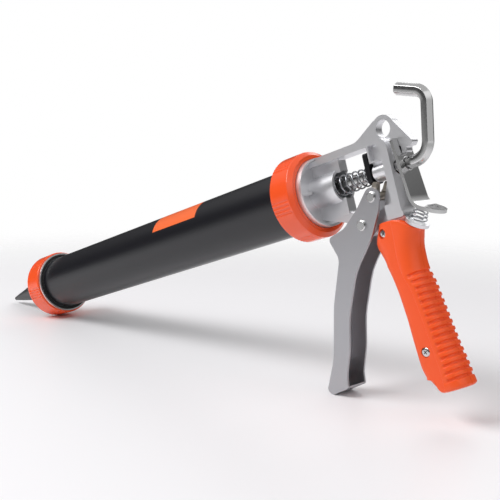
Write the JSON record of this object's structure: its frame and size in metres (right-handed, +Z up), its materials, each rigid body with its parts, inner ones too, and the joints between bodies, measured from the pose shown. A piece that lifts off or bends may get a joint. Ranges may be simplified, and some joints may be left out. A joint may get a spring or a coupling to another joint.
{
  "type": "caulking gun",
  "caption": "Hand-held caulking gun with a closed barrel, screw-on nozzle ring, hooked plunger rod and cast frame.",
  "frame": {"origin": "centre of the bounding box's base, on the floor the gun stands on", "axes": "+Z up, +X from the nozzle towards the grip, +Y to the gun's right side; standing on the front ring and the trigger's tip"},
  "size_m": [0.5949, 0.0674, 0.2332],
  "materials": {
    "orange_plastic": "glossy moulded",
    "black_anodised": "black anodised, satin",
    "bright_aluminium": "turned",
    "cast_aluminium": "die-cast, bead blasted",
    "orange_grip": "satin moulded",
    "plated_steel": "zinc plated",
    "trigger_steel": "pressed, satin plated",
    "black_oxide": "black oxide",
    "hardened_steel": "heat treated",
    "spring_steel": "drawn wire",
    "black_plastic": "moulded",
    "black_rubber": "moulded"
  },
  "bodies": {
    "frame": {"cast_frame": "cast_aluminium", "left_grip": "orange_grip", "right_grip": "orange_grip", "grip_screws": "plated_steel", "trigger_pivot": "plated_steel", "drive_spring": "spring_steel", "release_spring": "spring_steel"},
    "trigger_body": {"trigger": "trigger_steel", "drive_rivet": "plated_steel", "drive_fork": "hardened_steel"},
    "drive": {"drive_plate": "black_oxide"},
    "release": {"release_plate": "plated_steel"},
    "rod": {"plunger_rod": "plated_steel", "piston_front_disc": "plated_steel", "piston_cup": "black_rubber", "piston_rear_disc": "plated_steel", "piston_washer": "plated_steel", "piston_nut": "plated_steel"},
    "barrel": {"barrel_tube": "black_anodised", "front_sleeve": "bright_aluminium", "rear_sleeve": "bright_aluminium", "rear_nut": "orange_plastic"},
    "nozzle_body": {"nozzle": "black_plastic", "nozzle_seal": "black_rubber"},
    "ring_body": {"front_ring": "orange_plastic"}
  },
  "joints": [
    {"name": "trigger_pull", "type": "hinge", "parent": "frame", "child": "trigger_body", "pos_m": [0.2075, 0, 0.13144], "axis": [0, -1, 0], "range_deg": [0, 28], "stiffness_Nm_per_rad": 0.6, "springref_deg": -22.92},
    {"name": "drive_slide", "type": "slide", "parent": "frame", "child": "drive", "axis": [-0.9522, 0, -0.3056], "range_m": [0, 0.0152], "deforming": ["drive_spring"]},
    {"name": "rod_slide", "type": "slide", "parent": "frame", "child": "rod", "axis": [0.9522, 0, 0.3056], "range_m": [0, 0.3519]},
    {"name": "release_press", "type": "hinge", "parent": "frame", "child": "release", "pos_m": [0.23448, 0, 0.18547], "axis": [0, 1, 0], "range_deg": [0, 6], "stiffness_Nm_per_rad": 0.8, "springref_deg": -11.46, "deforming": ["release_spring"]},
    {"name": "barrel_turn", "type": "hinge", "parent": "frame", "child": "barrel", "pos_m": [0.15883, 0, 0.15121], "axis": [0.9522, 0, 0.3056], "continuous": true},
    {"name": "nozzle_advance", "type": "slide", "parent": "barrel", "child": "nozzle_body", "axis": [-0.9522, 0, -0.3056], "range_m": [0, 0.0161]},
    {"name": "front_ring_turn", "type": "hinge", "parent": "nozzle_body", "child": "ring_body", "pos_m": [-0.20871, 0, 0.03327], "axis": [-0.9522, 0, -0.3056], "range_deg": [0, 1440]}
  ],
  "couplings": [
    {"joint": "drive_slide", "follows": "trigger_pull", "m_per_rad": 0.0307},
    {"joint": "nozzle_advance", "follows": "front_ring_turn", "m_per_rad": 0.00063662}
  ]
}
